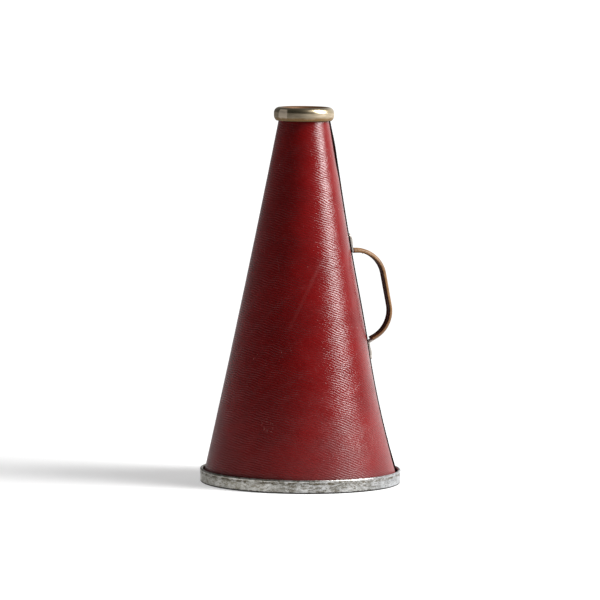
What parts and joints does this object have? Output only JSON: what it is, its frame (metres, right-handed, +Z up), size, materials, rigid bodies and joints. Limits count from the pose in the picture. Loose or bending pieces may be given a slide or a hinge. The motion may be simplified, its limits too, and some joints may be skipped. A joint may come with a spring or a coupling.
{
  "type": "handheld megaphone",
  "caption": "Cone-shaped speaking trumpet with a spun mouthpiece ring, metal-bound bell and a riveted strap handle with a leather grip; carries a shouted voice.",
  "frame": {"origin": "centre of the bell rim's bottom face, on the horn's axis", "axes": "+Z up the horn's axis to the mouthpiece; +X out to the handle; +Y to complete a right-handed set"},
  "size_m": [0.191, 0.191, 0.3561],
  "materials": {
    "fibreboard": "matt black board",
    "leathercloth": "glossy coated cloth with fine wavy ribs",
    "rim_steel": "aged, mottled plating",
    "plated_brass": "nickel plate worn through to brass",
    "plated_steel": "tarnished nickel plate",
    "leather": "worn smooth leather",
    "thread": "waxed linen thread"
  },
  "bodies": {
    "root": {"horn_core": "fibreboard", "horn_covering": "leathercloth", "bell_rim": "rim_steel", "rim_edge_wire": "rim_steel", "mouthpiece_ring": "plated_brass", "handle_strap": "plated_steel", "handle_grip": "leather", "grip_stitching": "thread", "upper_rivet": "plated_steel", "lower_rivet": "plated_steel", "upper_burr": "plated_steel", "lower_burr": "plated_steel"}
  },
  "joints": []
}
